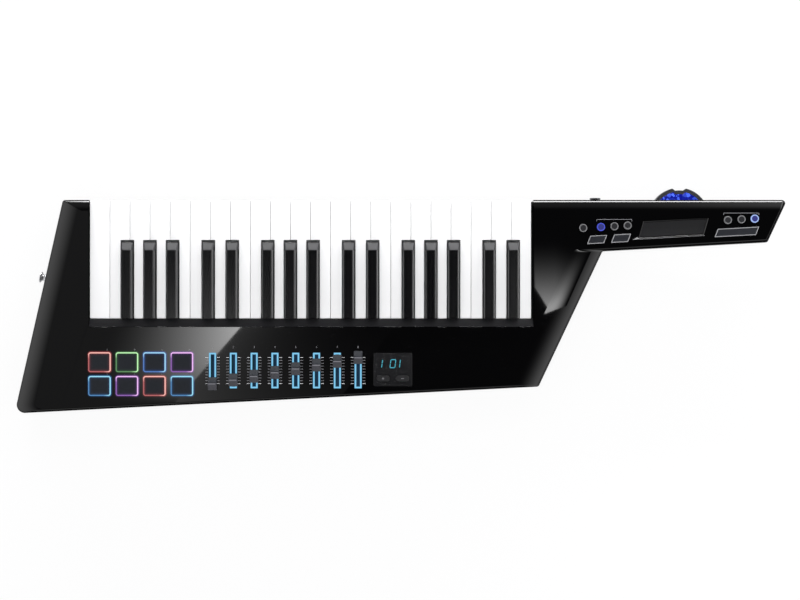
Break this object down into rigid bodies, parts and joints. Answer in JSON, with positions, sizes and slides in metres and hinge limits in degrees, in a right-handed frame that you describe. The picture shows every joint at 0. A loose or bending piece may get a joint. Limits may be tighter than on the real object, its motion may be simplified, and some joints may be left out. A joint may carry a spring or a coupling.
{
  "type": "keytar",
  "caption": "Shoulder keyboard with a slanted body and a short neck: piano keys, lit pads, faders, a display and a bend wheel, on two strap buttons.",
  "frame": {"origin": "middle of the whole part's box, at the back face that it lies on", "axes": "+X from the body to the neck's tip, +Y towards the fronts of the keys, +Z out of the panel, from back to front"},
  "size_m": [0.9004, 0.2636, 0.0644],
  "materials": {
    "gloss_housing": "high gloss black",
    "matte_housing": "fine textured black",
    "frame_plastic": "moulded grey",
    "board": "green board with black parts",
    "pad_rubber": "dark grey silicone with lit rims",
    "display_lens": "smoked window",
    "button_rubber": "dark silicone",
    "blade_button": "dark grey with a light rim",
    "fader_cap": "satin black with a pale line",
    "white_key": "white satin gloss",
    "black_key": "black satin",
    "wheel": "blue translucent, lit from inside, black rim",
    "strap_metal": "polished"
  },
  "bodies": {
    "housing": {"front_housing": "gloss_housing", "rear_housing": "matte_housing", "key_frame": "frame_plastic", "control_board": "board", "pad_mat": "pad_rubber", "display_lens": "display_lens", "value_keypad": "button_rubber", "neck_keypad": "button_rubber", "strap_button_neck": "strap_metal", "strap_button_side": "strap_metal"},
    "pitch_wheel_body": {"pitch_wheel": "wheel"},
    "fader_1_body": {"fader_1": "fader_cap"},
    "fader_2_body": {"fader_2": "fader_cap"},
    "fader_3_body": {"fader_3": "fader_cap"},
    "fader_4_body": {"fader_4": "fader_cap"},
    "fader_5_body": {"fader_5": "fader_cap"},
    "fader_6_body": {"fader_6": "fader_cap"},
    "fader_7_body": {"fader_7": "fader_cap"},
    "fader_8_body": {"fader_8": "fader_cap"},
    "octave_down_button_body": {"octave_down_button": "blade_button"},
    "octave_up_button_body": {"octave_up_button": "blade_button"},
    "sustain_button_body": {"sustain_button": "blade_button"},
    "battery_door_body": {"battery_door": "matte_housing"},
    "white_key_01_body": {"white_key_01": "white_key"},
    "white_key_02_body": {"white_key_02": "white_key"},
    "white_key_03_body": {"white_key_03": "white_key"},
    "white_key_04_body": {"white_key_04": "white_key"},
    "white_key_05_body": {"white_key_05": "white_key"},
    "white_key_06_body": {"white_key_06": "white_key"},
    "white_key_07_body": {"white_key_07": "white_key"},
    "white_key_08_body": {"white_key_08": "white_key"},
    "white_key_09_body": {"white_key_09": "white_key"},
    "white_key_10_body": {"white_key_10": "white_key"},
    "white_key_11_body": {"white_key_11": "white_key"},
    "white_key_12_body": {"white_key_12": "white_key"},
    "white_key_13_body": {"white_key_13": "white_key"},
    "white_key_14_body": {"white_key_14": "white_key"},
    "white_key_15_body": {"white_key_15": "white_key"},
    "white_key_16_body": {"white_key_16": "white_key"},
    "white_key_17_body": {"white_key_17": "white_key"},
    "white_key_18_body": {"white_key_18": "white_key"},
    "white_key_19_body": {"white_key_19": "white_key"},
    "white_key_20_body": {"white_key_20": "white_key"},
    "white_key_21_body": {"white_key_21": "white_key"},
    "white_key_22_body": {"white_key_22": "white_key"},
    "black_key_01_body": {"black_key_01": "black_key"},
    "black_key_02_body": {"black_key_02": "black_key"},
    "black_key_03_body": {"black_key_03": "black_key"},
    "black_key_04_body": {"black_key_04": "black_key"},
    "black_key_05_body": {"black_key_05": "black_key"},
    "black_key_06_body": {"black_key_06": "black_key"},
    "black_key_07_body": {"black_key_07": "black_key"},
    "black_key_08_body": {"black_key_08": "black_key"},
    "black_key_09_body": {"black_key_09": "black_key"},
    "black_key_10_body": {"black_key_10": "black_key"},
    "black_key_11_body": {"black_key_11": "black_key"},
    "black_key_12_body": {"black_key_12": "black_key"},
    "black_key_13_body": {"black_key_13": "black_key"},
    "black_key_14_body": {"black_key_14": "black_key"},
    "black_key_15_body": {"black_key_15": "black_key"}
  },
  "joints": [
    {"name": "pitch_wheel_turn", "type": "hinge", "parent": "housing", "child": "pitch_wheel_body", "pos_m": [0.32698, 0.09754, 0.035], "axis": [0, 0, 1], "range_deg": [-30, 30], "stiffness_Nm_per_rad": 0.05},
    {"name": "battery_door_turn", "type": "hinge", "parent": "housing", "child": "battery_door_body", "pos_m": [-0.25652, -0.06526, 0.00145], "axis": [1, 0, 0], "range_deg": [0, 90]},
    {"name": "octave_down_button_press", "type": "slide", "parent": "housing", "child": "octave_down_button_body", "axis": [0, 0, -1], "range_m": [0, 0.0008], "stiffness_N_per_m": 600, "springref_m": -0.0005},
    {"name": "octave_up_button_press", "type": "slide", "parent": "housing", "child": "octave_up_button_body", "axis": [0, 0, -1], "range_m": [0, 0.0008], "stiffness_N_per_m": 600, "springref_m": -0.0005},
    {"name": "sustain_button_press", "type": "slide", "parent": "housing", "child": "sustain_button_body", "axis": [0, 0, -1], "range_m": [0, 0.0008], "stiffness_N_per_m": 600, "springref_m": -0.0005},
    {"name": "fader_1_slide", "type": "slide", "parent": "housing", "child": "fader_1_body", "axis": [0, 1, 0], "range_m": [-0.00075, 0.03125]},
    {"name": "fader_2_slide", "type": "slide", "parent": "housing", "child": "fader_2_body", "axis": [0, 1, 0], "range_m": [-0.00511, 0.02689]},
    {"name": "fader_3_slide", "type": "slide", "parent": "housing", "child": "fader_3_body", "axis": [0, 1, 0], "range_m": [-0.00946, 0.02254]},
    {"name": "fader_4_slide", "type": "slide", "parent": "housing", "child": "fader_4_body", "axis": [0, 1, 0], "range_m": [-0.01382, 0.01818]},
    {"name": "fader_5_slide", "type": "slide", "parent": "housing", "child": "fader_5_body", "axis": [0, 1, 0], "range_m": [-0.01818, 0.01382]},
    {"name": "fader_6_slide", "type": "slide", "parent": "housing", "child": "fader_6_body", "axis": [0, 1, 0], "range_m": [-0.02254, 0.00946]},
    {"name": "fader_7_slide", "type": "slide", "parent": "housing", "child": "fader_7_body", "axis": [0, 1, 0], "range_m": [-0.02689, 0.00511]},
    {"name": "fader_8_slide", "type": "slide", "parent": "housing", "child": "fader_8_body", "axis": [0, 1, 0], "range_m": [-0.03125, 0.00075]},
    {"name": "white_key_01_press", "type": "hinge", "parent": "housing", "child": "white_key_01_body", "pos_m": [0.14073, -0.05126, 0.04], "axis": [-1, 0, 0], "range_deg": [0, 3.4], "stiffness_Nm_per_rad": 0.35, "springref_deg": -16.62},
    {"name": "black_key_01_press", "type": "hinge", "parent": "housing", "child": "black_key_01_body", "pos_m": [0.13128, -0.05126, 0.04], "axis": [-1, 0, 0], "range_deg": [0, 4.15], "stiffness_Nm_per_rad": 0.35, "springref_deg": -16.62},
    {"name": "white_key_02_press", "type": "hinge", "parent": "housing", "child": "white_key_02_body", "pos_m": [0.11723, -0.05126, 0.04], "axis": [-1, 0, 0], "range_deg": [0, 3.4], "stiffness_Nm_per_rad": 0.35, "springref_deg": -16.62},
    {"name": "black_key_02_press", "type": "hinge", "parent": "housing", "child": "black_key_02_body", "pos_m": [0.10318, -0.05126, 0.04], "axis": [-1, 0, 0], "range_deg": [0, 4.15], "stiffness_Nm_per_rad": 0.35, "springref_deg": -16.62},
    {"name": "white_key_03_press", "type": "hinge", "parent": "housing", "child": "white_key_03_body", "pos_m": [0.09373, -0.05126, 0.04], "axis": [-1, 0, 0], "range_deg": [0, 3.4], "stiffness_Nm_per_rad": 0.35, "springref_deg": -16.62},
    {"name": "black_key_03_press", "type": "hinge", "parent": "housing", "child": "black_key_03_body", "pos_m": [0.06148, -0.05126, 0.04], "axis": [-1, 0, 0], "range_deg": [0, 4.15], "stiffness_Nm_per_rad": 0.35, "springref_deg": -16.62},
    {"name": "white_key_04_press", "type": "hinge", "parent": "housing", "child": "white_key_04_body", "pos_m": [0.07023, -0.05126, 0.04], "axis": [-1, 0, 0], "range_deg": [0, 3.4], "stiffness_Nm_per_rad": 0.35, "springref_deg": -16.62},
    {"name": "black_key_04_press", "type": "hinge", "parent": "housing", "child": "black_key_04_body", "pos_m": [0.03498, -0.05126, 0.04], "axis": [-1, 0, 0], "range_deg": [0, 4.15], "stiffness_Nm_per_rad": 0.35, "springref_deg": -16.62},
    {"name": "white_key_05_press", "type": "hinge", "parent": "housing", "child": "white_key_05_body", "pos_m": [0.04673, -0.05126, 0.04], "axis": [-1, 0, 0], "range_deg": [0, 3.4], "stiffness_Nm_per_rad": 0.35, "springref_deg": -16.62},
    {"name": "black_key_05_press", "type": "hinge", "parent": "housing", "child": "black_key_05_body", "pos_m": [0.00848, -0.05126, 0.04], "axis": [-1, 0, 0], "range_deg": [0, 4.15], "stiffness_Nm_per_rad": 0.35, "springref_deg": -16.62},
    {"name": "white_key_06_press", "type": "hinge", "parent": "housing", "child": "white_key_06_body", "pos_m": [0.02323, -0.05126, 0.04], "axis": [-1, 0, 0], "range_deg": [0, 3.4], "stiffness_Nm_per_rad": 0.35, "springref_deg": -16.62},
    {"name": "black_key_06_press", "type": "hinge", "parent": "housing", "child": "black_key_06_body", "pos_m": [-0.03322, -0.05126, 0.04], "axis": [-1, 0, 0], "range_deg": [0, 4.15], "stiffness_Nm_per_rad": 0.35, "springref_deg": -16.62},
    {"name": "white_key_07_press", "type": "hinge", "parent": "housing", "child": "white_key_07_body", "pos_m": [-0.00027, -0.05126, 0.04], "axis": [-1, 0, 0], "range_deg": [0, 3.4], "stiffness_Nm_per_rad": 0.35, "springref_deg": -16.62},
    {"name": "black_key_07_press", "type": "hinge", "parent": "housing", "child": "black_key_07_body", "pos_m": [-0.06132, -0.05126, 0.04], "axis": [-1, 0, 0], "range_deg": [0, 4.15], "stiffness_Nm_per_rad": 0.35, "springref_deg": -16.62},
    {"name": "white_key_08_press", "type": "hinge", "parent": "housing", "child": "white_key_08_body", "pos_m": [-0.02377, -0.05126, 0.04], "axis": [-1, 0, 0], "range_deg": [0, 3.4], "stiffness_Nm_per_rad": 0.35, "springref_deg": -16.62},
    {"name": "black_key_08_press", "type": "hinge", "parent": "housing", "child": "black_key_08_body", "pos_m": [-0.10302, -0.05126, 0.04], "axis": [-1, 0, 0], "range_deg": [0, 4.15], "stiffness_Nm_per_rad": 0.35, "springref_deg": -16.62},
    {"name": "white_key_09_press", "type": "hinge", "parent": "housing", "child": "white_key_09_body", "pos_m": [-0.04727, -0.05126, 0.04], "axis": [-1, 0, 0], "range_deg": [0, 3.4], "stiffness_Nm_per_rad": 0.35, "springref_deg": -16.62},
    {"name": "black_key_09_press", "type": "hinge", "parent": "housing", "child": "black_key_09_body", "pos_m": [-0.12952, -0.05126, 0.04], "axis": [-1, 0, 0], "range_deg": [0, 4.15], "stiffness_Nm_per_rad": 0.35, "springref_deg": -16.62},
    {"name": "white_key_10_press", "type": "hinge", "parent": "housing", "child": "white_key_10_body", "pos_m": [-0.07077, -0.05126, 0.04], "axis": [-1, 0, 0], "range_deg": [0, 3.4], "stiffness_Nm_per_rad": 0.35, "springref_deg": -16.62},
    {"name": "black_key_10_press", "type": "hinge", "parent": "housing", "child": "black_key_10_body", "pos_m": [-0.15602, -0.05126, 0.04], "axis": [-1, 0, 0], "range_deg": [0, 4.15], "stiffness_Nm_per_rad": 0.35, "springref_deg": -16.62},
    {"name": "white_key_11_press", "type": "hinge", "parent": "housing", "child": "white_key_11_body", "pos_m": [-0.09427, -0.05126, 0.04], "axis": [-1, 0, 0], "range_deg": [0, 3.4], "stiffness_Nm_per_rad": 0.35, "springref_deg": -16.62},
    {"name": "black_key_11_press", "type": "hinge", "parent": "housing", "child": "black_key_11_body", "pos_m": [-0.19772, -0.05126, 0.04], "axis": [-1, 0, 0], "range_deg": [0, 4.15], "stiffness_Nm_per_rad": 0.35, "springref_deg": -16.62},
    {"name": "white_key_12_press", "type": "hinge", "parent": "housing", "child": "white_key_12_body", "pos_m": [-0.11777, -0.05126, 0.04], "axis": [-1, 0, 0], "range_deg": [0, 3.4], "stiffness_Nm_per_rad": 0.35, "springref_deg": -16.62},
    {"name": "black_key_12_press", "type": "hinge", "parent": "housing", "child": "black_key_12_body", "pos_m": [-0.22582, -0.05126, 0.04], "axis": [-1, 0, 0], "range_deg": [0, 4.15], "stiffness_Nm_per_rad": 0.35, "springref_deg": -16.62},
    {"name": "white_key_13_press", "type": "hinge", "parent": "housing", "child": "white_key_13_body", "pos_m": [-0.14127, -0.05126, 0.04], "axis": [-1, 0, 0], "range_deg": [0, 3.4], "stiffness_Nm_per_rad": 0.35, "springref_deg": -16.62},
    {"name": "black_key_13_press", "type": "hinge", "parent": "housing", "child": "black_key_13_body", "pos_m": [-0.26752, -0.05126, 0.04], "axis": [-1, 0, 0], "range_deg": [0, 4.15], "stiffness_Nm_per_rad": 0.35, "springref_deg": -16.62},
    {"name": "white_key_14_press", "type": "hinge", "parent": "housing", "child": "white_key_14_body", "pos_m": [-0.16477, -0.05126, 0.04], "axis": [-1, 0, 0], "range_deg": [0, 3.4], "stiffness_Nm_per_rad": 0.35, "springref_deg": -16.62},
    {"name": "black_key_14_press", "type": "hinge", "parent": "housing", "child": "black_key_14_body", "pos_m": [-0.29402, -0.05126, 0.04], "axis": [-1, 0, 0], "range_deg": [0, 4.15], "stiffness_Nm_per_rad": 0.35, "springref_deg": -16.62},
    {"name": "white_key_15_press", "type": "hinge", "parent": "housing", "child": "white_key_15_body", "pos_m": [-0.18827, -0.05126, 0.04], "axis": [-1, 0, 0], "range_deg": [0, 3.4], "stiffness_Nm_per_rad": 0.35, "springref_deg": -16.62},
    {"name": "black_key_15_press", "type": "hinge", "parent": "housing", "child": "black_key_15_body", "pos_m": [-0.32052, -0.05126, 0.04], "axis": [-1, 0, 0], "range_deg": [0, 4.15], "stiffness_Nm_per_rad": 0.35, "springref_deg": -16.62},
    {"name": "white_key_16_press", "type": "hinge", "parent": "housing", "child": "white_key_16_body", "pos_m": [-0.21177, -0.05126, 0.04], "axis": [-1, 0, 0], "range_deg": [0, 3.4], "stiffness_Nm_per_rad": 0.35, "springref_deg": -16.62},
    {"name": "white_key_17_press", "type": "hinge", "parent": "housing", "child": "white_key_17_body", "pos_m": [-0.23527, -0.05126, 0.04], "axis": [-1, 0, 0], "range_deg": [0, 3.4], "stiffness_Nm_per_rad": 0.35, "springref_deg": -16.62},
    {"name": "white_key_18_press", "type": "hinge", "parent": "housing", "child": "white_key_18_body", "pos_m": [-0.25877, -0.05126, 0.04], "axis": [-1, 0, 0], "range_deg": [0, 3.4], "stiffness_Nm_per_rad": 0.35, "springref_deg": -16.62},
    {"name": "white_key_19_press", "type": "hinge", "parent": "housing", "child": "white_key_19_body", "pos_m": [-0.28227, -0.05126, 0.04], "axis": [-1, 0, 0], "range_deg": [0, 3.4], "stiffness_Nm_per_rad": 0.35, "springref_deg": -16.62},
    {"name": "white_key_20_press", "type": "hinge", "parent": "housing", "child": "white_key_20_body", "pos_m": [-0.30577, -0.05126, 0.04], "axis": [-1, 0, 0], "range_deg": [0, 3.4], "stiffness_Nm_per_rad": 0.35, "springref_deg": -16.62},
    {"name": "white_key_21_press", "type": "hinge", "parent": "housing", "child": "white_key_21_body", "pos_m": [-0.32927, -0.05126, 0.04], "axis": [-1, 0, 0], "range_deg": [0, 3.4], "stiffness_Nm_per_rad": 0.35, "springref_deg": -16.62},
    {"name": "white_key_22_press", "type": "hinge", "parent": "housing", "child": "white_key_22_body", "pos_m": [-0.35277, -0.05126, 0.04], "axis": [-1, 0, 0], "range_deg": [0, 3.4], "stiffness_Nm_per_rad": 0.35, "springref_deg": -16.62}
  ]
}
